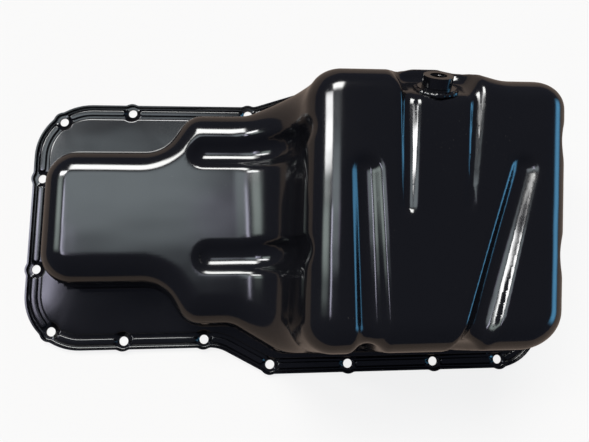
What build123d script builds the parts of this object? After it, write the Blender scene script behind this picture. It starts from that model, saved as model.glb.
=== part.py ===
from build123d import *
import os
from math import cos, radians, sin, tan

# Pressed steel engine oil pan, standing on its gasket flange with the sump upwards.
# The origin lies on the gasket face, midway between the two front bolt holes, and +X runs
# towards the sump.
# All sizes are in millimetres.

# sheet
sheet = 1.4
draft = 5.5

# gasket flange
flange_left = -7.0
flange_right = 460.0
front_half_width = 112.5
sump_side_low = -136.5
sump_side_high = 129.0
low_step_start = 162.0
low_step_end = 206.0
high_step_start = 194.0
high_step_end = 244.0
front_corner_radius = 50.0
rear_corner_radius = 45.0
step_radius = 30.0
flange_width = 13.0
lip_height = 4.2
lip_root_radius = 1.2

# bolt holes, the ears round them and the stiffening beads between them
bolt_hole_radius = 4.0
bolt_inset = 7.0
ear_radius = 8.6
ear_blend_radius = 5.0
scallop_radius = 8.2
bead_width = 5.6
bead_height = 1.5
bead_edge_radius = 1.2
bead_wall_share = 0.8
bead_gap = 9.5
front_bolt_y = 41.5
corner_bolt_x = 16.5
corner_bolt_y = 96.0
second_bolt_x = 79.0
low_bolts_x = [149.0, 205.5, 278.0, 357.0, 419.0]
high_bolts_x = [188.0, 264.0, 341.0, 419.0]
rear_bolts_y = [-72.0, 4.0, 80.0]

# shelf that carries the tray and the sump
shelf_height = 6.0
shelf_edge_radius = 2.4
shelf_foot_radius = 1.5

# shallow tray
tray_height = 48.0
tray_left = 12.5
tray_half_width = 61.0
tray_shift = 1.5
tray_corner_radius = 30.0
tray_neck_start = 113.0
tray_neck_end = 135.0
tray_wide_high = 96.0
tray_wide_low = -93.5
low_run_start = 12.0
low_run_end = 10.0
tray_edge_radius = 17.0
neck_radius = 26.0
wide_run_out = 6.0

# deep sump
sump_height = 125.0
sump_high = 103.5
sump_shoulder = 111.5
sump_low = -119.0
sump_right_high = 444.0
sump_right_low = 419.0
shoulder_start = 240.0
shoulder_end = 298.0
shoulder_run = 12.0
shoulder_radius = 30.0
side_blend_radius = 20.0
sump_floor_radius = 16.0
sump_corner_radius = 30.0
rear_low_radius = 38.0

# leaning wall between the tray and the sump, blended more gently on its high side
wall_lean = 13.0
wall_reach = 200.0
wall_foot_high = 228.0
wall_foot_low = 212.0
wall_blend_high = 58.0
wall_blend_low = 20.0
clear = 40.0

# pressed grooves
groove_edge_radius = 4.0
taper_edge_radius = 2.0
tray_groove_radius = 13.0
tray_groove_depth = 5.0
tray_groove_high_y = 53.0
tray_groove_high_x = 150.0
tray_groove_low_y = -37.0
tray_groove_low_x = 158.0
long_groove_x = 273.5
long_groove_start = 18.0
long_groove_end = 85.0
long_groove_radius = 12.0
long_groove_depth = 5.5
slant_groove_radius = 11.0
slant_groove_depth = 4.5
slant_groove_x = 394.0
slant_groove_y = 18.0
slant_groove_turn = 21.0
slant_groove_end = 70.0
wide_taper = (306.0, 301.5, -15.0, 9.0, 7.0)
narrow_taper = (360.0, 347.5, -5.0, 7.0, 6.0)
taper_reach = 120.0

# drain boss and the flat pocket it is welded in
boss_x = 331.0
boss_y = 82.0
boss_z = 114.5
boss_tilt = 42.0
boss_radius = 11.0
boss_length = 11.0
boss_bore_radius = 6.2
boss_collar_radius = 14.0
boss_collar_height = 2.5
boss_spigot_wall = 1.8
pocket_radius = 16.0


def flange_outline():
    """The closed outer outline of the flange, without the ears at its bolts."""
    corners = [
        (flange_left, -front_half_width),
        (low_step_start, -front_half_width),
        (low_step_end, sump_side_low),
        (flange_right, sump_side_low),
        (flange_right, sump_side_high),
        (high_step_end, sump_side_high),
        (high_step_start, front_half_width),
        (flange_left, front_half_width),
    ]
    radii = [
        front_corner_radius,
        step_radius,
        step_radius,
        rear_corner_radius,
        rear_corner_radius,
        step_radius,
        step_radius,
        front_corner_radius,
    ]
    return FilletPolyline(*corners, radius=radii, close=True)


def body_outline():
    """The closed foot outline of the tray and the sump together."""
    tray_high = tray_shift + tray_half_width
    tray_low = tray_shift - tray_half_width
    corners = [
        (tray_left, tray_low),
        (tray_neck_start, tray_low),
        (tray_neck_end, tray_wide_low),
        (low_step_start + low_run_start, tray_wide_low),
        (low_step_end + low_run_end, sump_low),
        (sump_right_low, sump_low),
        (sump_right_high, sump_high),
        (shoulder_end + shoulder_run, sump_high),
        (shoulder_end, sump_shoulder),
        (shoulder_start, sump_shoulder),
        (high_step_start - wide_run_out, tray_wide_high),
        (tray_neck_end, tray_wide_high),
        (tray_neck_start, tray_high),
        (tray_left, tray_high),
    ]
    radii = [
        tray_corner_radius,
        neck_radius,
        neck_radius,
        side_blend_radius,
        shoulder_radius,
        rear_low_radius,
        sump_corner_radius,
        shoulder_run,
        shoulder_radius,
        shoulder_radius,
        side_blend_radius,
        neck_radius,
        neck_radius,
        tray_corner_radius,
    ]
    return FilletPolyline(*corners, radius=radii, close=True)


def wall_value(low, high, y):
    """A value of the leaning wall, which changes evenly from its low side to its high side."""
    return low + (high - low) * (y + wall_reach) / (2 * wall_reach)


def wall_profile(y, skin):
    """The section at y of the space over the tray, bounded on the right by the leaning wall."""
    lean = tan(radians(wall_lean))
    foot = tray_height - skin
    top = sump_height + clear
    corner = wall_value(wall_foot_low, wall_foot_high, y) + skin / cos(radians(wall_lean))
    with BuildSketch(Plane.XZ.offset(-y)) as section:
        with BuildLine():
            edge = FilletPolyline(
                (flange_left - wall_reach, foot),
                (corner - skin * lean, foot),
                (corner + (top - tray_height) * lean, top),
                radius=wall_value(wall_blend_low, wall_blend_high, y) + skin,
            )
            Polyline(edge @ 1, (flange_left - wall_reach, top), edge @ 0)
        make_face()
    return section.sketch


def space_over_tray(skin):
    """What is cut away above the tray and in front of the sump."""
    with BuildPart() as space:
        add(wall_profile(-wall_reach, skin))
        add(wall_profile(wall_reach, skin))
        loft(ruled=True)
    return space.part


def tray_groove(start, y, skin):
    """A round bar laid along the tray and up the leaning wall, which presses one groove."""
    lean = tan(radians(wall_lean))
    lift = tray_groove_radius - tray_groove_depth
    height = tray_height + lift
    top = sump_height + clear
    corner = wall_value(wall_foot_low, wall_foot_high, y) - lift / cos(radians(wall_lean))
    with BuildPart() as bar:
        with BuildLine(Plane.XZ.offset(-y)) as route:
            FilletPolyline(
                (start, height),
                (corner + lift * lean, height),
                (corner + (top - tray_height) * lean, top),
                radius=wall_value(wall_blend_low, wall_blend_high, y) - lift,
            )
        with BuildSketch(Plane(origin=(start, y, height), z_dir=(1, 0, 0))):
            Circle(tray_groove_radius + skin)
        sweep(path=route.wires()[0])
        with Locations((start, y, height)):
            Sphere(tray_groove_radius + skin)
    return bar.part


def floor_groove(start, turn, radius, depth, end, skin):
    """A round bar laid along the sump floor from start, and over its low edge down to end.

    The bar runs along -Y, turned by turn degrees towards -X."""
    lift = radius - depth
    height = sump_height + lift
    slope = tan(radians(draft)) / cos(radians(turn))
    side = (start[1] - sump_low + lift / cos(radians(draft))) / cos(radians(turn))
    along = Vector(-sin(radians(turn)), -cos(radians(turn)), 0)
    across = Vector(cos(radians(turn)), -sin(radians(turn)), 0)
    with BuildPart() as bar:
        with BuildLine(Plane(origin=(start[0], start[1], 0), x_dir=along, z_dir=-across)) as route:
            FilletPolyline(
                (0, height),
                (side - height * slope, height),
                (side - end * slope, end),
                radius=sump_floor_radius + lift,
            )
        with BuildSketch(Plane(origin=(start[0], start[1], height), z_dir=along)):
            Circle(radius + skin)
        sweep(path=route.wires()[0])
        with Locations(route.wires()[0] @ 0, route.wires()[0] @ 1):
            Sphere(radius + skin)
    return bar.part


def tapered_groove(taper, skin):
    """A round bar that dips into the sump floor as it nears the high side."""
    mouth_x, tip_x, tip_y, radius, depth = taper
    mouth = Vector(mouth_x, taper_reach, sump_height + radius - depth)
    tip = Vector(tip_x, tip_y, sump_height + radius)
    with BuildPart() as bar:
        with BuildSketch(Plane(origin=mouth, z_dir=tip - mouth)):
            Circle(radius + skin)
        extrude(amount=(tip - mouth).length)
    return bar.part


def boss_plane(offset_out):
    """The plane of the drain boss's seat, moved outwards along the boss's axis."""
    axis = Vector(0, cos(radians(boss_tilt)), sin(radians(boss_tilt)))
    return Plane(origin=Vector(boss_x, boss_y, boss_z) + axis * offset_out, x_dir=(1, 0, 0), z_dir=axis)


def near_line(line, x, y):
    """Where the point of the line that is nearest to x, y lies along it, from 0 to 1."""
    nearest = line.distance_to_with_closest_points(Vector(x, y, 0))[1]
    return line.param_at_point(nearest)


with BuildLine() as rim_line:
    flange_outline()
bolt_line = rim_line.wires()[0].offset_2d(-bolt_inset)

bolt_marks = [(flange_left, front_bolt_y), (flange_left, -front_bolt_y)]
bolt_marks += [(corner_bolt_x, corner_bolt_y), (corner_bolt_x, -corner_bolt_y)]
bolt_marks += [(second_bolt_x, front_half_width), (second_bolt_x, -front_half_width)]
bolt_marks += [(x, sump_side_low) for x in low_bolts_x]
bolt_marks += [(x, sump_side_high) for x in high_bolts_x]
bolt_marks += [(flange_right, y) for y in rear_bolts_y]
bolt_stations = sorted(near_line(bolt_line, x, y) for x, y in bolt_marks)
bolts = [bolt_line @ station for station in bolt_stations]
front_bolts = [bolt for bolt in bolts if bolt.X < low_step_start]
bolt_spans = list(zip(bolt_stations, bolt_stations[1:] + bolt_stations[:1]))


def rim_face(inset):
    """The flange with its ears, drawn in by inset."""
    with BuildSketch() as face:
        with BuildLine():
            flange_outline()
        make_face()
        with Locations(*bolts):
            Circle(ear_radius)
        offset(amount=ear_blend_radius)
        offset(amount=-ear_blend_radius - inset)
    return face.sketch


def shelf_face(inset):
    """The foot of the shelf, scalloped round the front bolts and drawn in by inset."""
    with BuildSketch() as face:
        with BuildLine():
            flange_outline()
        make_face()
        offset(amount=-flange_width)
        with Locations(*front_bolts):
            Circle(scallop_radius, mode=Mode.SUBTRACT)
        offset(amount=-ear_blend_radius - inset)
        offset(amount=ear_blend_radius)
    return face.sketch


def body_face(inset):
    """The foot of the tray and the sump, drawn in by inset."""
    with BuildSketch() as face:
        with BuildLine():
            body_outline()
        make_face()
        if inset:
            offset(amount=-inset)
    return face.sketch


def bead_face(start, end, width):
    """A round-ended strip of the bolt line between two stations, clear of both bolts."""
    gap = bead_gap / bolt_line.length
    if end > start:
        spans = [bolt_line.trim(start + gap, end - gap)]
    else:
        spans = [bolt_line.trim(start + gap, 1.0), bolt_line.trim(0.0, end - gap)]
    route = Wire([edge for span in spans for edge in span.edges()])
    with BuildSketch() as face:
        with BuildLine():
            add(route)
            offset(amount=width / 2, side=Side.BOTH)
        make_face()
    return face.sketch


def crest_edges(form, floor_height):
    """The edges that bound the tray top and the leaning wall, but not the sump floor."""
    crest = form.faces().filter_by(GeomType.BSPLINE).filter_by(lambda f: f.center().Z > tray_height / 2)
    shared = []
    for face in crest:
        for other in crest:
            if other is not face:
                shared += [edge.center() for edge in other.edges() if edge in face.edges()]
    outer = []
    for edge in crest.edges():
        middle = edge.center()
        if middle.Z < floor_height - 0.05 and all((middle - point).length > 0.01 for point in shared):
            outer.append(edge)
    return outer


def body_form(skin):
    """The tray and the sump as a solid, drawn in by skin, before their grooves are pressed."""
    with BuildPart() as body:
        with BuildSketch():
            add(body_face(skin))
        extrude(amount=sump_height - skin, taper=draft)
        add(space_over_tray(skin), mode=Mode.SUBTRACT)
        fillet(crest_edges(body, sump_height - skin), radius=tray_edge_radius - skin)
        fillet(body.faces().sort_by(Axis.Z)[-1].edges(), radius=sump_floor_radius - skin)
    return body.part


def boss_pocket(skin):
    """The flat-bottomed pocket across the sump's high corner."""
    with BuildPart() as pocket:
        with BuildSketch(boss_plane(-skin)):
            Circle(pocket_radius + skin)
        extrude(amount=clear)
    return pocket.part


def shelf_form(skin):
    """The shelf as a solid, drawn in by skin, with its upper edge rounded."""
    with BuildPart() as shelf:
        with BuildSketch():
            add(shelf_face(skin))
        extrude(amount=shelf_height - skin)
        fillet(shelf.faces().sort_by(Axis.Z)[-1].edges(), radius=shelf_edge_radius - skin)
    return shelf.part


def presses(skin):
    """Each tool that dents the tray or the sump, with the radius that rounds its edges."""
    edge = groove_edge_radius - skin
    long_start = (long_groove_x, long_groove_start)
    slant_start = (slant_groove_x, slant_groove_y)
    long_bar = floor_groove(long_start, 0, long_groove_radius, long_groove_depth, long_groove_end, skin)
    slant_bar = floor_groove(
        slant_start, slant_groove_turn, slant_groove_radius, slant_groove_depth, slant_groove_end, skin
    )
    return [
        (tray_groove(tray_groove_high_x, tray_groove_high_y, skin), edge),
        (tray_groove(tray_groove_low_x, tray_groove_low_y, skin), edge),
        (long_bar, edge if skin == 0 else 0),
        (slant_bar, edge),
        (tapered_groove(wide_taper, skin), taper_edge_radius),
        (tapered_groove(narrow_taper, skin), taper_edge_radius),
        (boss_pocket(skin), 0),
    ]


def pressing(skin):
    """Everything that stands up from the flange, as one solid drawn in by skin."""
    top = shelf_height - skin
    with BuildPart() as form:
        add(shelf_form(skin))
        add(body_form(skin))
        foot = form.edges(Select.NEW).filter_by_position(Axis.Z, top, top)
        fillet(foot, radius=shelf_foot_radius + skin)
        for tool, radius in presses(skin):
            add(tool, mode=Mode.SUBTRACT)
            if radius:
                fillet(form.edges(Select.NEW), radius=radius)
    return form.part


# the pan: one sheet, as an outer form less an inner form
with BuildPart() as pan_shell:
    with BuildSketch():
        add(rim_face(0.0))
    extrude(amount=lip_height)
    with BuildSketch(Plane.XY.offset(sheet)):
        add(rim_face(sheet))
    extrude(amount=lip_height, mode=Mode.SUBTRACT)
    fillet(pan_shell.edges().filter_by_position(Axis.Z, sheet, sheet), radius=lip_root_radius)
    fillet(pan_shell.edges().filter_by_position(Axis.Z, 0, 0), radius=lip_root_radius + sheet)
    with BuildSketch(Plane.XY.offset(sheet)):
        for start, end in bolt_spans:
            add(bead_face(start, end, bead_width))
    extrude(amount=bead_height)
    ridges = pan_shell.faces().filter_by_position(Axis.Z, sheet + bead_height, sheet + bead_height)
    fillet(ridges.edges(), radius=bead_edge_radius)
    with BuildSketch():
        for start, end in bolt_spans:
            add(bead_face(start, end, bead_width - 2 * sheet * bead_wall_share))
    extrude(amount=bead_height, mode=Mode.SUBTRACT)
    with Locations(*bolts):
        Hole(radius=bolt_hole_radius)
    add(pressing(0.0))
    add(pressing(sheet), mode=Mode.SUBTRACT)
    with BuildSketch(boss_plane(0.0)):
        Circle(boss_bore_radius + boss_spigot_wall)
    extrude(amount=2 * sheet, both=True, mode=Mode.SUBTRACT)

# the threaded drain boss, welded into its pocket
with BuildPart() as drain_boss:
    with BuildSketch(boss_plane(0.0)):
        Circle(boss_collar_radius)
    extrude(amount=boss_collar_height)
    with BuildSketch(boss_plane(boss_collar_height)):
        Circle(boss_radius)
    extrude(amount=boss_length - boss_collar_height)
    with BuildSketch(boss_plane(-sheet)):
        Circle(boss_bore_radius + boss_spigot_wall)
    extrude(amount=sheet)
    with BuildSketch(boss_plane(-sheet)):
        Circle(boss_bore_radius)
    extrude(amount=boss_length + sheet, mode=Mode.SUBTRACT)

pan_shell.part.label = "pan_shell"
drain_boss.part.label = "drain_boss"
os.makedirs("parts", exist_ok=True)
export_step(pan_shell.part, "parts/pan_shell.step")
export_step(drain_boss.part, "parts/drain_boss.step")
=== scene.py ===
# %% [markdown]
# # A gloss-painted engine oil pan
# The pan is one sheet of steel, deep-drawn in a press and stoved in black paint, with a threaded boss
# welded into its high corner. The boss and the flange, with its holes, lip and beads, come packed from
# the CAD part. The drawn body is laid here, since a press rounds a sheet more softly than that solid is
# rounded. Then come the weld, the thread, the paint, and the light that shows them.

import math
import time

import bmesh
import bpy
import numpy as np
from mathutils import Matrix, Vector


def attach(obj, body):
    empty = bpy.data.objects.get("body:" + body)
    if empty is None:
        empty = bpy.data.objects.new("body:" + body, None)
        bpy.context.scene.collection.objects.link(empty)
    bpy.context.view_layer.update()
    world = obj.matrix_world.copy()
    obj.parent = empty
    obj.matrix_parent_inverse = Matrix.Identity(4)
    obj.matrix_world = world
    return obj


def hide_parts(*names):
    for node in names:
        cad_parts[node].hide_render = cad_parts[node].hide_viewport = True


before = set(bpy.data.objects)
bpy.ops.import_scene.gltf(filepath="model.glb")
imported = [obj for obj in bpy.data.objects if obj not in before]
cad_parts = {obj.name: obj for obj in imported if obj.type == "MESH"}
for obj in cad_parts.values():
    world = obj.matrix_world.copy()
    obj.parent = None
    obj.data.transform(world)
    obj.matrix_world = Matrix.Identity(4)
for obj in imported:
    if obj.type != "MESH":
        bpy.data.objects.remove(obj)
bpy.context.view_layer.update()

# %% [markdown]
# ## The camera
# The pan lies on its flange and is looked at from almost straight above, from close by. A short
# distance makes the sump floor look larger than the flange. The three columns below are the camera's
# right, up and back directions.

# %% Place the camera
camera_data = bpy.data.cameras.new("bench_camera")
camera_data.sensor_width = 36.0
camera_data.lens = 28.73
camera_data.clip_start = 0.01
camera_data.clip_end = 20.0
camera = bpy.data.objects.new("bench_camera", camera_data)
bpy.context.collection.objects.link(camera)
right = Vector((0.99730, -0.01567, 0.07174))
up = Vector((0.00409, 0.98731, 0.15875))
back = Vector((-0.07331, -0.15803, 0.98471))
turn = Matrix((right, up, back)).transposed().to_4x4()
camera_spot = (0.1994, -0.0687, 0.43765)
camera.matrix_world = Matrix.Translation(camera_spot) @ turn
bpy.context.scene.camera = camera
print("camera at", tuple(round(v, 4) for v in camera.location))


# %% [markdown]
# ## The drawn shell
# A deep-drawn pan has no sharp edge above its flange: the sheet flows over round tools. Here the shell
# is a field, a number for each point in space that is below zero inside the form. Walls, floors and
# round bars are joined and cut with rounded corners, just as the press tools round the sheet, and the
# surface is then laid where the field is zero. Sizes in this part are in millimetres.

# %% Outline tools
arc_step = math.radians(6)
bend_steps = 8


def rounded_loop(corners, radii):
    """The points of a closed polygon with each corner rounded by its own radius."""
    count = len(corners)
    loop = []
    for i in range(count):
        here = np.array(corners[i], float)
        back_way = np.array(corners[i - 1], float) - here
        on_way = np.array(corners[(i + 1) % count], float) - here
        back_way /= np.linalg.norm(back_way)
        on_way /= np.linalg.norm(on_way)
        half = math.acos(np.clip(back_way @ on_way, -1, 1)) / 2
        inward = (back_way + on_way) / np.linalg.norm(back_way + on_way)
        centre = here + inward * radii[i] / math.sin(half)
        first = here + back_way * radii[i] / math.tan(half) - centre
        last = here + on_way * radii[i] / math.tan(half) - centre
        swing = math.atan2(first[0] * last[1] - first[1] * last[0], first @ last)
        steps = max(2, int(abs(swing) / arc_step))
        for k in range(steps + 1):
            angle = swing * k / steps
            loop.append(centre + np.array((
                first[0] * math.cos(angle) - first[1] * math.sin(angle),
                first[0] * math.sin(angle) + first[1] * math.cos(angle))))
    return np.array(loop)


def loop_distance(loop, points):
    """How far each point lies outside the closed loop, below zero inside it."""
    distance = np.full(len(points), 1e9)
    inside = np.zeros(len(points), bool)
    x, y = points[:, 0], points[:, 1]
    for a, b in zip(loop, np.roll(loop, -1, axis=0)):
        run = b - a
        length = run @ run
        if length < 1e-9:
            continue
        t = np.clip(((x - a[0]) * run[0] + (y - a[1]) * run[1]) / length, 0, 1)
        gap = (x - a[0] - t * run[0]) ** 2 + (y - a[1] - t * run[1]) ** 2
        distance = np.minimum(distance, gap)
        if a[1] != b[1]:
            crossed = (a[1] > y) != (b[1] > y)
            inside ^= crossed & (x < a[0] + (y - a[1]) * run[0] / run[1])
    distance = np.sqrt(distance)
    return np.where(inside, -distance, distance)


def path_distance(path, points):
    """How far each point lies from a path through space."""
    distance = np.full(len(points), 1e9)
    for a, b in zip(path[:-1], path[1:]):
        run = b - a
        t = np.clip(((points - a) @ run) / (run @ run), 0, 1)
        distance = np.minimum(distance, ((points - a - t[:, None] * run) ** 2).sum(axis=1))
    return np.sqrt(distance)


def bent_path(corners, radius):
    """A path in a plane, with its inner corners rounded by one radius."""
    path = [np.array(corners[0], float)]
    for before, here, after in zip(corners, corners[1:], corners[2:]):
        here = np.array(here, float)
        back_way = np.array(before, float) - here
        on_way = np.array(after, float) - here
        back_way /= np.linalg.norm(back_way)
        on_way /= np.linalg.norm(on_way)
        half = math.acos(np.clip(back_way @ on_way, -1, 1)) / 2
        reach = radius / math.tan(half)
        inward = (back_way + on_way) / np.linalg.norm(back_way + on_way)
        centre = here + inward * radius / math.sin(half)
        first = here + back_way * reach - centre
        last = here + on_way * reach - centre
        swing = math.pi - 2 * half
        for k in range(bend_steps + 1):
            share = k / bend_steps
            arc = (math.sin((1 - share) * swing) * first + math.sin(share * swing) * last) / math.sin(swing)
            path.append(centre + arc)
    path.append(np.array(corners[-1], float))
    return path


def round_cut(a, b, radius):
    """The field inside both a and b, with their shared edge rounded."""
    u = np.maximum(a + radius, 0)
    v = np.maximum(b + radius, 0)
    return np.minimum(np.maximum(a, b), -radius) + np.sqrt(u * u + v * v)


def round_join(a, b, radius):
    """The field inside a or b, with the corner between them rounded."""
    return -round_cut(-a, -b, radius)


def ease(low, high, value):
    """A smooth step from 0 at low to 1 at high."""
    t = np.clip((value - low) / (high - low), 0, 1)
    return t * t * (3 - 2 * t)


# %% Outline of the drawn body
draft = math.tan(math.radians(5.5))
tray_top = 48.0
sump_top = 125.0
shelf_top = 6.02
sump_low_y = -119.0
rear_low_x = 419.0
rear_high_x, rear_high_y = 444.0, 103.5
body_corners = [(12.5, -59.5), (113, -59.5), (135, -93.5), (174, -93.5), (216, sump_low_y),
                (rear_low_x, sump_low_y), (rear_high_x, rear_high_y), (385, rear_high_y), (342, 116),
                (316, 116), (301, 111.5), (240, 111.5), (188, 96), (135, 96), (113, 62.5), (12.5, 62.5)]
body_radii = [31, 26, 26, 20, 38, 40, 33, 30, 30, 30, 30, 38, 20, 26, 26, 31]
body_loop = rounded_loop(body_corners, body_radii)
print("body outline has", len(body_loop), "points")


# %% [markdown]
# Every groove and dent is pressed by a round bar. A tool is the bar's path, its radius, and the radius of
# the edge it leaves. The leaning wall between tray and sump changes evenly from one side of the pan to
# the other: each of its values is a pair, for 200 mm to the low side and 200 mm to the high side.

# %% Press the tray grooves
wall_lean = math.radians(12.0)
tilt = math.tan(wall_lean)
wall_foot = (210.0, 228.0)
wall_round = (20.0, 58.0)


def wall_at(pair, y):
    """A value of the leaning wall at y, from its pair."""
    return pair[0] + (pair[1] - pair[0]) * (y + 200) / 400


groove_radius = 14.0
groove_depth = 5.5
groove_edge = 3.2
groove_starts = ((152.0, 53.0), (158.0, -36.0))
bar_top = 165.0
bar_clear = 5.3  # how far the bar has left the wall at its top
lift = groove_radius - groove_depth
tools = []
for start, y in groove_starts:
    foot = wall_at(wall_foot, y) - lift / math.cos(wall_lean)
    corners = [(start, tray_top + lift), (foot + lift * tilt, tray_top + lift),
               (foot + (bar_top - tray_top) * tilt - bar_clear, bar_top)]
    bent = bent_path(corners, wall_at(wall_round, y) - lift)
    tools.append(([np.array((p[0], y, p[1])) for p in bent], groove_radius, groove_edge))
print(len(tools), "tray grooves")

# %% Press the sump grooves
floor_edge = 21.0
bar_bottom = 20.0
sink_start = -9.0
sink_reach = 131.0
sink_measure = 112.5  # the run over which the two depths are given


def over_edge(x, y, turn, radius, near_depth, far_depth, edge):
    """A bar along the sump floor from x, y, bent over the low edge and down the wall."""
    near, far = radius - near_depth, radius - far_depth
    turned = math.radians(turn)
    slope = draft / math.cos(turned)
    side = (y - sump_low_y + far) / math.cos(turned)
    bent = bent_path([(0, sump_top + near), (side - (sump_top + far) * slope, sump_top + far),
                      (side - bar_bottom * slope, bar_bottom)], floor_edge + far)
    path = [np.array((x - math.sin(turned) * p[0], y - math.cos(turned) * p[0], p[1])) for p in bent]
    return path, radius, edge


def sinking(x, turn, radius, near_depth, far_depth, edge):
    """A bar that dips into the sump floor from its tip towards the high side."""
    deep = near_depth + (far_depth - near_depth) * sink_reach / sink_measure
    path = [np.array((x, sink_start, sump_top + radius - near_depth)),
            np.array((x + sink_reach * math.tan(math.radians(turn)), sink_reach + sink_start,
                      sump_top + radius - deep))]
    return path, radius, edge


tools.append(over_edge(x=273.5, y=18.0, turn=0.0, radius=12.0, near_depth=5.5, far_depth=7.0, edge=3.2))
tools.append(over_edge(x=388.5, y=19.0, turn=19.6, radius=12.0, near_depth=4.5, far_depth=8.0, edge=2.2))
tools.append(sinking(x=302.0, turn=3.9, radius=7.0, near_depth=2.0, far_depth=4.5, edge=1.2))
tools.append(sinking(x=346.5, turn=7.9, radius=5.0, near_depth=1.4, far_depth=3.2, edge=0.9))
print(len(tools), "tools with the sump grooves")

# %% Press the dents in the rear side
dent_radius = 26.0
dent_depth = 3.4
dent_edge = 4.0
for y in (40.0, -45.0):
    rear = rear_low_x + (rear_high_x - rear_low_x) * (y - sump_low_y) / (rear_high_y - sump_low_y)
    x = rear + dent_radius - dent_depth
    path = [np.array((x, y, 0.0)), np.array((x - sump_top * draft, y, sump_top))]
    tools.append((path, dent_radius, dent_edge))
print(len(tools), "tools with the dents")

# %% [markdown]
# The drain boss stands on a flat pad that is pressed into the sump's high corner. The pad's sides flare
# outwards. All its values are measured from the middle of the seat, along the pad and straight out of it.

# %% Place the pad
seat = np.array((331.0, 82.0, 114.5))
boss_tilt = math.radians(42)
seat_out = np.array((0.0, math.cos(boss_tilt), math.sin(boss_tilt)))
seat_up = np.array((0.0, -math.sin(boss_tilt), math.cos(boss_tilt)))
pad_side = 25.0
pad_foot = 20.0
pad_corner = 12.0
pad_flare = math.radians(35)
pad_inner_edge = 3.0
pad_outer_edge = 4.0

# %% [markdown]
# The field puts it all together: the drafted body, cut down to the tray, the leaning wall and the sump
# floor, less the bars and the pad, and joined to the shelf. The rear side bulges a little, so its points
# are looked up a little further in.

# %% Put the field together
tray_edge = 23.0
bulge_depth = 4.5
bulge_heights = (8, 60)
bulge_reach = (385, 440)
shelf_round = 2.5
near_tool = 12  # beyond this distance a bar changes nothing


def pan_field(points):
    """The field of the drawn form at each point."""
    points = points.copy()
    bulge = bulge_depth * ease(*bulge_heights, points[:, 2]) * ease(*bulge_reach, points[:, 0])
    points[:, 0] -= bulge
    x, y, z = points.T
    field = (loop_distance(body_loop, points) + z * draft) * math.cos(math.atan(draft))
    wall = (wall_at(wall_foot, y) + (z - tray_top) * tilt - x) * math.cos(wall_lean)
    crest = round_join(z - tray_top, wall, wall_at(wall_round, y))
    field = round_cut(field, crest, tray_edge)
    field = round_cut(field, z - sump_top, floor_edge)
    for path, radius, edge in tools:
        spots = np.array(path)
        low = spots.min(axis=0) - radius - near_tool
        high = spots.max(axis=0) + radius + near_tool
        near = np.all((points > low) & (points < high), axis=1)
        if near.any():
            bar = path_distance(path, points[near]) - radius
            field[near] = round_cut(field[near], -bar, edge)
    away = points - seat
    height = away @ seat_out
    side = np.abs(away[:, 0]) - pad_side
    down = -(away @ seat_up) - pad_foot
    rect = round_cut(side, down, pad_corner) - np.maximum(height, 0) * math.tan(pad_flare)
    pad = round_cut(-height, rect, pad_inner_edge)
    field = round_cut(field, -pad, pad_outer_edge)
    return round_join(field, z - shelf_top, shelf_round)


# %% [markdown]
# To lay the sheet, space is cut into small cubes. A cube whose corners lie on both sides of the surface
# gets one point, the mean of the places where its edges cross the surface. Four cubes round a crossed
# edge make a face. The points are then moved onto the surface itself.

# %% Lay the sheet over the tools
def lay_sheet(low, high, step):
    """Corners and four-sided faces of the surface where the field is zero."""
    axes = [np.arange(low[i], high[i] + step, step) for i in range(3)]
    grid = np.stack(np.meshgrid(*axes, indexing="ij"), axis=-1)
    field = np.concatenate([pan_field(slab.reshape(-1, 3)) for slab in grid]).reshape(grid.shape[:3])
    counts = np.array(field.shape) - 1
    total_place = np.zeros((*counts, 3))
    crossings = np.zeros(counts)
    edges = []
    for axis in range(3):
        one = np.take(field, range(counts[axis]), axis)
        two = np.take(field, range(1, counts[axis] + 1), axis)
        crossed = (one < 0) != (two < 0)
        share = np.where(crossed, one / np.where(crossed, one - two, 1), 0)
        edges.append((crossed, one < 0))
        others = [i for i in range(3) if i != axis]
        for shift_a in (0, 1):
            for shift_b in (0, 1):
                part = [slice(None)] * 3
                part[others[0]] = slice(shift_a, counts[others[0]] + shift_a)
                part[others[1]] = slice(shift_b, counts[others[1]] + shift_b)
                hit = crossed[tuple(part)]
                crossings += hit
                total_place[..., axis] += np.where(hit, share[tuple(part)], 0)
                total_place[..., others[0]] += np.where(hit, shift_a, 0)
                total_place[..., others[1]] += np.where(hit, shift_b, 0)
    used = crossings > 0
    label = np.full(used.shape, -1)
    label[used] = np.arange(used.sum())
    cells = np.argwhere(used)
    corners = (cells + total_place[used] / crossings[used][:, None]) * step + np.array(low)
    faces = []
    for axis in range(3):
        crossed, inside_first = edges[axis]
        b, c = (axis + 1) % 3, (axis + 2) % 3
        spots = np.argwhere(crossed)
        keep = (spots[:, b] > 0) & (spots[:, c] > 0) & (spots[:, b] < counts[b]) & (spots[:, c] < counts[c])
        spots = spots[keep]
        quad = []
        for shift_b, shift_c in ((1, 1), (0, 1), (0, 0), (1, 0)):
            cell = spots.copy()
            cell[:, b] -= shift_b
            cell[:, c] -= shift_c
            quad.append(label[tuple(cell.T)])
        quad = np.stack(quad, axis=1)
        flip = ~inside_first[tuple(spots.T)]
        quad[flip] = quad[flip][:, ::-1]
        faces.append(quad)
    return corners, np.concatenate(faces)


def settle(corners, rounds):
    """Corners moved onto the surface, along the steepest way down the field."""
    small = 0.05
    least_slope = 0.2  # keeps a corner from jumping where the field is flat
    for _ in range(rounds):
        value = pan_field(corners)
        slope = np.stack([
            (pan_field(corners + small * axis) - value) / small for axis in np.eye(3)], axis=1)
        corners = corners - slope * (value / np.maximum((slope ** 2).sum(axis=1), least_slope))[:, None]
    return corners


started = time.time()
cube = 2.7
corners, faces = lay_sheet((4.0, -126.0, 2.0), (456.0, 124.0, 128.0), cube)
corners = settle(corners, 2)
print(len(faces), "faces laid in", round(time.time() - started, 1), "s")

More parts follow.
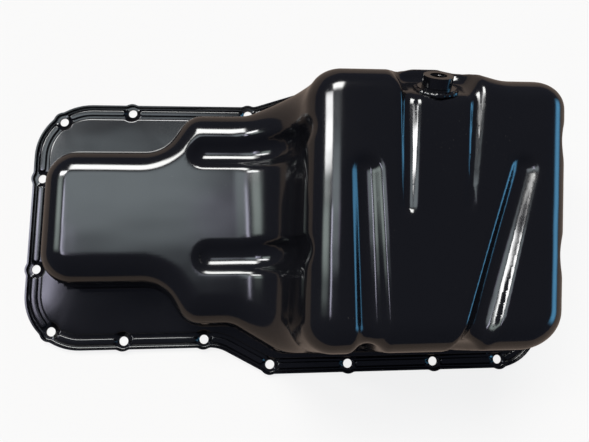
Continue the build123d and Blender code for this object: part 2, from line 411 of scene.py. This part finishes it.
# %% [markdown]
# ## From surface to sheet
# The laid surface also covers the shelf, so it is trimmed to a narrow collar round the foot of the body.
# Solidify gives it the thickness of the sheet. The rim below, with its holes and beads, is exact in the
# CAD part already, so that half is a copy of the CAD mesh, cut off at the top of the shelf. The collar's
# upper face lies a hair above the shelf and its thickness sinks into it: the two shells overlap there.

# %% Trim and thicken the drawn shell
sheet = 0.0014
collar_width = 3.5
rear_collar_less = 1.8  # the shelf is narrower behind the sump
collar = collar_width - rear_collar_less * ease(425, 440, corners[:, 0])
outside = loop_distance(body_loop, corners) > collar
kept = faces[~outside[faces].any(axis=1)]
used = np.unique(kept)
label = np.full(len(corners), -1)
label[used] = np.arange(len(used))
drawn_mesh = bpy.data.meshes.new("pan_sheet")
drawn_mesh.from_pydata((corners[used] / 1000).tolist(), [], label[kept].tolist())
drawn = bpy.data.objects.new("pan_sheet", drawn_mesh)
bpy.context.collection.objects.link(drawn)


def only(piece):
    """Select one piece alone."""
    bpy.ops.object.select_all(action="DESELECT")
    piece.select_set(True)
    bpy.context.view_layer.objects.active = piece


only(drawn)
thicken = drawn.modifiers.new("sheet", "SOLIDIFY")
thicken.thickness = sheet
thicken.offset = -1.0
bpy.ops.object.modifier_apply(modifier="sheet")
print("drawn shell", len(drawn.data.polygons), "faces")

# %% [markdown]
# The boss has a short spigot that passes through the sheet, so the pad needs a round hole for it. The
# hole is cut with a cylinder that stands on the pad; the collar of the boss covers its edge.

# %% Cut the hole for the boss
spigot_hole = 0.0081
seat_turn = Matrix.Rotation(boss_tilt - math.pi / 2, 4, "X")
seat_place = Matrix.Translation(seat / 1000) @ seat_turn
bpy.ops.mesh.primitive_cylinder_add(vertices=64, radius=spigot_hole, depth=0.012)
punch = bpy.context.object
punch.matrix_world = seat_place
only(drawn)
hole = drawn.modifiers.new("hole", "BOOLEAN")
hole.operation = "DIFFERENCE"
hole.solver = "EXACT"
hole.object = punch
bpy.ops.object.modifier_apply(modifier="hole")
bpy.data.objects.remove(punch)
print("drawn shell with its hole", len(drawn.data.polygons), "faces")

# %% Take the rim from the CAD part
rim_top = 0.00605  # just above the shelf
smooth_angle = math.radians(35)
rim_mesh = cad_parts["pan_shell"].data.copy()
rim = bpy.data.objects.new("pan_rim", rim_mesh)
bpy.context.collection.objects.link(rim)
shape = bmesh.new()
shape.from_mesh(rim_mesh)
bmesh.ops.remove_doubles(shape, verts=shape.verts, dist=1e-6)
above = [face for face in shape.faces if max(v.co.z for v in face.verts) > rim_top]
bmesh.ops.delete(shape, geom=above, context="FACES")
open_edges = [edge for edge in shape.edges if edge.is_boundary]
made = bmesh.ops.bridge_loops(shape, edges=open_edges)
print("rim", len(shape.faces), "faces,", len(open_edges), "open edges bridged with", len(made["faces"]))
shape.to_mesh(rim_mesh)
shape.free()
only(drawn)
rim.select_set(True)
bpy.ops.object.join()
bpy.ops.object.shade_smooth_by_angle(angle=smooth_angle)
drawn.data.name = "pan_sheet"
print("pan sheet", sum(len(p.vertices) - 2 for p in drawn.data.polygons), "triangles")
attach(drawn, "root")
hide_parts("pan_shell")

# %% [markdown]
# ## The weld and the thread of the drain boss
# The boss is a turned piece, welded to its pad by one rough bead of weld that the paint then covers. The
# bead starts as a ring laid round the collar; each of its rings of corners is pushed in and out a little,
# as drops of weld are. The thread in the bore is one ridge that winds up the wall.

# %% Lay the weld bead
weld_radius = 0.0146
bead_radius = 0.0019
drop_waves = ((0.16, 23, 0.0), (0.22, 7, 1.3), (0.12, 41, 0.0))  # height, count, where it starts
bpy.ops.object.select_all(action="DESELECT")
bpy.ops.mesh.primitive_torus_add(major_segments=96, minor_segments=14, major_radius=weld_radius,
                                 minor_radius=bead_radius, location=(0, 0, 0))
weld = bpy.context.object
weld.name = "boss_weld"
for corner in weld.data.vertices:
    around = math.atan2(corner.co.y, corner.co.x)
    drops = sum(height * math.sin(count * around + start) for height, count, start in drop_waves)
    ring = Vector((math.cos(around), math.sin(around), 0.0)) * weld_radius
    corner.co = ring + (corner.co - ring) * (1.0 + drops)
weld.matrix_world = seat_place
only(weld)
bpy.ops.object.transform_apply(location=True, rotation=True, scale=True)
bpy.ops.object.shade_smooth()
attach(weld, "root")
print("weld bead", len(weld.data.polygons), "faces")

# %% Cut the thread
pitch, turns, steps = 0.0015, 7, 40
bore = 0.00625
ridge_height = 0.0007
ridge_least = 0.00005
thread_foot = 0.0002
thread_mesh = bmesh.new()
rings = []
for k in range(turns * steps + 1):
    angle = 2 * math.pi * k / steps
    rise = pitch * k / steps - thread_foot
    fade = min(1.0, k / steps, (turns * steps - k) / steps)
    ridge = ridge_height * fade + ridge_least
    ring = []
    for depth, up in ((0.0, -0.4), (-ridge, -0.08), (-ridge, 0.08), (0.0, 0.4), (0.0003, 0.0)):
        radius = bore + depth
        ring.append(thread_mesh.verts.new((radius * math.cos(angle), radius * math.sin(angle),
                                           rise + up * pitch)))
    rings.append(ring)
for one, two in zip(rings, rings[1:]):
    for i in range(5):
        j = (i + 1) % 5
        thread_mesh.faces.new((one[i], one[j], two[j], two[i]))
thread_mesh.faces.new(rings[0][::-1])
thread_mesh.faces.new(rings[-1])
bmesh.ops.recalc_face_normals(thread_mesh, faces=thread_mesh.faces)
thread_data = bpy.data.meshes.new("boss_thread")
thread_mesh.to_mesh(thread_data)
thread_mesh.free()
thread = bpy.data.objects.new("boss_thread", thread_data)
bpy.context.collection.objects.link(thread)
thread.matrix_world = seat_place
only(thread)
bpy.ops.object.transform_apply(location=True, rotation=True, scale=True)
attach(thread, "root")
print("thread", len(thread.data.polygons), "faces")

# %% [markdown]
# ## The bench
# The pan lies on a pale bench. The camera sees the bench almost white, with a soft shadow left in it.
# Rays that bounce off the gloss paint see it a little warmer, which is what gives the walls of the pan
# their brown edges. Both come from the Light Path node, so neither adds soft light to the pan.

# %% Lay the bench
def new_material(name):
    """A material with only a Principled shader, returned with its nodes and that shader."""
    material = bpy.data.materials.new(name)
    material.use_nodes = True
    return material, material.node_tree, material.node_tree.nodes["Principled BSDF"]


def add_node(tree, kind, **settings):
    """A new node of one kind, with its properties set."""
    node = tree.nodes.new(kind)
    for name, value in settings.items():
        setattr(node, name, value)
    return node


bpy.ops.object.select_all(action="DESELECT")
bpy.ops.mesh.primitive_plane_add(size=8.0, location=(0.2, 0.0, 0.0))
bench = bpy.context.object
bench.name = "bench"
bpy.ops.object.transform_apply(location=True, rotation=True, scale=True)
bench_paint, tree, shader = new_material("pale_bench")
shader.inputs["Base Color"].default_value = (0.80, 0.76, 0.72, 1.0)
shader.inputs["Roughness"].default_value = 0.8
shader.inputs["Specular IOR Level"].default_value = 0.0
seen = add_node(tree, "ShaderNodeEmission")
seen.inputs["Color"].default_value = (1.0, 1.0, 1.0, 1.0)
seen.inputs["Strength"].default_value = 1.0
mirrored = add_node(tree, "ShaderNodeEmission")
mirrored.inputs["Color"].default_value = (0.60, 0.47, 0.39, 1.0)
mirrored.inputs["Strength"].default_value = 0.5
ray = add_node(tree, "ShaderNodeLightPath")
shade_share = 0.84
seen_share = add_node(tree, "ShaderNodeMath", operation="MULTIPLY")
seen_share.inputs[1].default_value = shade_share
tree.links.new(ray.outputs["Is Camera Ray"], seen_share.inputs[0])
through = add_node(tree, "ShaderNodeMath", operation="MAXIMUM")
tree.links.new(seen_share.outputs[0], through.inputs[0])
tree.links.new(ray.outputs["Is Transmission Ray"], through.inputs[1])
direct = add_node(tree, "ShaderNodeMixShader")
tree.links.new(through.outputs[0], direct.inputs[0])
tree.links.new(shader.outputs["BSDF"], direct.inputs[1])
tree.links.new(seen.outputs["Emission"], direct.inputs[2])
bounced = add_node(tree, "ShaderNodeMixShader")
tree.links.new(ray.outputs["Is Glossy Ray"], bounced.inputs[0])
tree.links.new(direct.outputs["Shader"], bounced.inputs[1])
tree.links.new(mirrored.outputs["Emission"], bounced.inputs[2])
tree.links.new(bounced.outputs["Shader"], tree.nodes["Material Output"].inputs["Surface"])
bench.data.materials.append(bench_paint)
print("bench laid at z", 0.0)

# %% [markdown]
# ## The room
# Gloss black paint has almost no colour of its own, so what shows on it is the room. The room is made
# in the world: a dim background with a few soft-edged windows. Each window has a direction, a width and
# a height seen from the pan, and an edge that fades. A lamp has a hard edge, and a flat gloss sheet
# would mirror it as a hard line.

# %% Hang the soft windows
room = bpy.data.worlds.new("room")
bpy.context.scene.world = room
room.use_nodes = True
room_tree = room.node_tree
room_light = room_tree.nodes["Background"]
looking = add_node(room_tree, "ShaderNodeTexCoord")


def soft_window(name, tilt_x, tilt_y, half_width, half_height, fade, colour, strength, turn=0.0):
    """A soft-edged window, tilted from straight overhead by tilt_x towards +X and tilt_y towards +Y.

    The half sizes and the fade are in degrees. The result is the window's colour socket."""
    facing = Vector((math.tan(math.radians(tilt_x)), math.tan(math.radians(tilt_y)), 1.0)).normalized()
    across = Vector((facing.z, 0.0, -facing.x)).normalized()
    along = facing.cross(across)
    spin = math.radians(turn)
    across, along = (across * math.cos(spin) + along * math.sin(spin),
                     along * math.cos(spin) - across * math.sin(spin))

    def shadow_of(axis):
        dot = add_node(room_tree, "ShaderNodeVectorMath", operation="DOT_PRODUCT")
        dot.inputs[1].default_value = axis
        room_tree.links.new(looking.outputs["Generated"], dot.inputs[0])
        return dot.outputs["Value"]

    depth = shadow_of(facing)
    shade = None
    for axis, half in ((across, half_width), (along, half_height)):
        ratio = add_node(room_tree, "ShaderNodeMath", operation="DIVIDE")
        room_tree.links.new(shadow_of(axis), ratio.inputs[0])
        room_tree.links.new(depth, ratio.inputs[1])
        size = add_node(room_tree, "ShaderNodeMath", operation="ABSOLUTE")
        room_tree.links.new(ratio.outputs[0], size.inputs[0])
        edge = add_node(room_tree, "ShaderNodeMapRange", interpolation_type="SMOOTHSTEP")
        edge.inputs["From Min"].default_value = math.tan(math.radians(half + fade))
        edge.inputs["From Max"].default_value = math.tan(math.radians(max(half - fade, 0.0)))
        room_tree.links.new(size.outputs[0], edge.inputs["Value"])
        if shade is None:
            shade = edge.outputs["Result"]
        else:
            both = add_node(room_tree, "ShaderNodeMath", operation="MULTIPLY")
            room_tree.links.new(shade, both.inputs[0])
            room_tree.links.new(edge.outputs["Result"], both.inputs[1])
            shade = both.outputs[0]
    front = add_node(room_tree, "ShaderNodeMath", operation="GREATER_THAN")
    front.inputs[1].default_value = 0.0
    room_tree.links.new(depth, front.inputs[0])
    lit = add_node(room_tree, "ShaderNodeMath", operation="MULTIPLY")
    room_tree.links.new(shade, lit.inputs[0])
    room_tree.links.new(front.outputs[0], lit.inputs[1])
    tint = add_node(room_tree, "ShaderNodeVectorMath", operation="SCALE")
    tint.inputs[0].default_value = [strength * part for part in colour]
    room_tree.links.new(lit.outputs[0], tint.inputs["Scale"])
    print(name, "radiance", strength)
    return tint.outputs["Vector"]


# Each window: tilt towards +X and +Y, half width, half height, fade, colour, strength.
windows = [
    soft_window("far window", -14.0, 40.0, 14.0, 9.0, 3.0, (1.0, 1.0, 0.98), 15.0),
    soft_window("tray ceiling", -16.0, 14.0, 11.0, 7.0, 6.0, (0.88, 1.0, 1.05), 2.1),
    soft_window("tray glow", -4.0, 10.0, 3.0, 2.5, 3.0, (1.0, 0.85, 1.25), 0.7),
    soft_window("left strip", -27.0, 6.0, 2.0, 7.0, 2.0, (0.90, 0.88, 1.1), 7.0),
    soft_window("left panel", -46.0, 14.0, 8.0, 5.0, 6.0, (0.86, 1.0, 0.95), 3.2),
    soft_window("left spot", -41.0, 28.0, 10.0, 4.0, 2.0, (1.0, 1.0, 1.0), 18.0),
    soft_window("right window", 80.0, 8.0, 8.0, 22.0, 6.0, (0.16, 0.55, 0.95), 3.4),
]

total = add_node(room_tree, "ShaderNodeVectorMath", operation="ADD")
dim_room = (0.055, 0.06, 0.085)
total.inputs[0].default_value = dim_room
room_tree.links.new(windows[0], total.inputs[1])
for window in windows[1:]:
    step = add_node(room_tree, "ShaderNodeVectorMath", operation="ADD")
    room_tree.links.new(total.outputs["Vector"], step.inputs[0])
    room_tree.links.new(window, step.inputs[1])
    total = step
room_tree.links.new(total.outputs["Vector"], room_light.inputs["Color"])
room_light.inputs["Strength"].default_value = 1.0
backdrop = add_node(room_tree, "ShaderNodeBackground")
backdrop.inputs["Color"].default_value = (1.0, 1.0, 1.0, 1.0)
backdrop.inputs["Strength"].default_value = 1.0
room_ray = add_node(room_tree, "ShaderNodeLightPath")
straight = add_node(room_tree, "ShaderNodeMath", operation="MAXIMUM")
room_tree.links.new(room_ray.outputs["Is Camera Ray"], straight.inputs[0])
room_tree.links.new(room_ray.outputs["Is Transmission Ray"], straight.inputs[1])
room_mix = add_node(room_tree, "ShaderNodeMixShader")
room_tree.links.new(straight.outputs[0], room_mix.inputs[0])
room_tree.links.new(room_light.outputs["Background"], room_mix.inputs[1])
room_tree.links.new(backdrop.outputs["Background"], room_mix.inputs[2])
room_tree.links.new(room_mix.outputs["Shader"], room_tree.nodes["World Output"].inputs["Surface"])
bpy.context.scene.view_settings.view_transform = "Standard"

# %% [markdown]
# ## Stoved black paint
# The pan is dipped or sprayed in black and baked. Seen close, such paint is never a perfect mirror. The
# drawn sheet under it waves a little, the paint has a fine orange peel, coarser where it ran round the
# bends, and dust, wiping and handling leave the gloss uneven. Each of these is a height or a mask that
# changes over the surface, so they are made once in a node group, on Object coordinates. The noises
# count waves per metre, and the heights are multiples of the paint's bump distance.

# %% Make the paint's surface effects
surface = bpy.data.node_groups.new("stoved_surface", "ShaderNodeTree")
for name in ("Wave", "Peel", "Grit"):
    surface.interface.new_socket(name, in_out="INPUT", socket_type="NodeSocketFloat").default_value = 1.0
for name in ("Height", "Haze", "Dust"):
    surface.interface.new_socket(name, in_out="OUTPUT", socket_type="NodeSocketFloat")
group_in = add_node(surface, "NodeGroupInput")
group_out = add_node(surface, "NodeGroupOutput")
place = add_node(surface, "ShaderNodeTexCoord")


def noise(scale, detail, stretch=(1.0, 1.0, 1.0), roughness=0.5):
    """A noise over the surface; the scale counts waves per metre."""
    mapping = add_node(surface, "ShaderNodeMapping")
    mapping.inputs["Scale"].default_value = stretch
    surface.links.new(place.outputs["Object"], mapping.inputs["Vector"])
    cloud = add_node(surface, "ShaderNodeTexNoise")
    cloud.inputs["Scale"].default_value = scale
    cloud.inputs["Detail"].default_value = detail
    cloud.inputs["Roughness"].default_value = roughness
    surface.links.new(mapping.outputs["Vector"], cloud.inputs["Vector"])
    return cloud.outputs["Fac"]


def work(kind, first, second):
    """One arithmetic step between two sockets or numbers."""
    step = add_node(surface, "ShaderNodeMath", operation=kind)
    for slot, value in zip(step.inputs, (first, second)):
        if isinstance(value, float):
            slot.default_value = value
        else:
            surface.links.new(value, slot)
    return step.outputs[0]


def between(value, low, high, low_out=0.0, high_out=1.0):
    """A smooth step of value from low to high."""
    step = add_node(surface, "ShaderNodeMapRange", interpolation_type="SMOOTHSTEP")
    for name, number in (("From Min", low), ("From Max", high), ("To Min", low_out), ("To Max", high_out)):
        step.inputs[name].default_value = number
    surface.links.new(value, step.inputs["Value"])
    return step.outputs["Result"]


wave = work("MULTIPLY", work("MULTIPLY", noise(16.0, 1.0, (1.0, 1.6, 1.0)), 6.0), group_in.outputs["Wave"])
peel = work("MULTIPLY", work("MULTIPLY", noise(420.0, 1.0), 0.020), group_in.outputs["Peel"])
coarse_places = between(noise(11.0, 2.0), 0.52, 0.68)
coarse = work("MULTIPLY", work("MULTIPLY", noise(900.0, 2.0), 0.028), group_in.outputs["Grit"])
coarse = work("MULTIPLY", coarse, coarse_places)
surface.links.new(work("ADD", work("ADD", wave, peel), coarse), group_out.inputs["Height"])
cloudy = between(noise(9.0, 3.0), 0.40, 0.70)
wiped = between(noise(60.0, 4.0, (1.0, 0.25, 1.0)), 0.50, 0.75)
surface.links.new(work("ADD", work("MULTIPLY", cloudy, 0.6), work("MULTIPLY", wiped, 0.4)),
                  group_out.inputs["Haze"])
specks = between(noise(700.0, 1.0), 0.72, 0.80)
dusty = work("MULTIPLY", specks, between(noise(14.0, 2.0), 0.50, 0.70))
surface.links.new(dusty, group_out.inputs["Dust"])
print("surface effects:", len(surface.nodes), "nodes")


# %% Mix the paint
def stoved_paint(name, wave_share, peel_share, grit_share, gloss, dull):
    """A black paint whose roughness runs from gloss to dull over its hazy places."""
    material, tree, shader = new_material(name)
    shader.inputs["IOR"].default_value = 1.7
    effects = add_node(tree, "ShaderNodeGroup", node_tree=surface)
    effects.inputs["Wave"].default_value = wave_share
    effects.inputs["Peel"].default_value = peel_share
    effects.inputs["Grit"].default_value = grit_share
    rough = add_node(tree, "ShaderNodeMapRange")
    rough.inputs["To Min"].default_value = gloss
    rough.inputs["To Max"].default_value = dull
    tree.links.new(effects.outputs["Haze"], rough.inputs["Value"])
    tree.links.new(rough.outputs["Result"], shader.inputs["Roughness"])
    colour = add_node(tree, "ShaderNodeMix", data_type="RGBA")
    colour.inputs["A"].default_value = (0.0055, 0.0055, 0.0068, 1.0)
    colour.inputs["B"].default_value = (0.035, 0.033, 0.030, 1.0)
    tree.links.new(effects.outputs["Dust"], colour.inputs["Factor"])
    tree.links.new(colour.outputs["Result"], shader.inputs["Base Color"])
    bump = add_node(tree, "ShaderNodeBump")
    bump.inputs["Strength"].default_value = 1.0
    bump.inputs["Distance"].default_value = 0.0001
    tree.links.new(effects.outputs["Height"], bump.inputs["Height"])
    tree.links.new(bump.outputs["Normal"], shader.inputs["Normal"])
    return material


enamel = stoved_paint(
    "black_enamel", wave_share=1.0, peel_share=1.0, grit_share=1.0, gloss=0.10, dull=0.17)
boss_enamel = stoved_paint(
    "boss_enamel", wave_share=0.0, peel_share=2.0, grit_share=3.0, gloss=0.12, dull=0.24)
weld_enamel = stoved_paint(
    "weld_enamel", wave_share=0.0, peel_share=5.0, grit_share=8.0, gloss=0.10, dull=0.22)
painted = ((drawn, enamel), (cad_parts["drain_boss"], boss_enamel), (weld, weld_enamel),
           (thread, boss_enamel))
for piece, paint in painted:
    piece.data.materials.clear()
    piece.data.materials.append(paint)
    print(piece.name, len(piece.data.polygons), "faces in", paint.name)
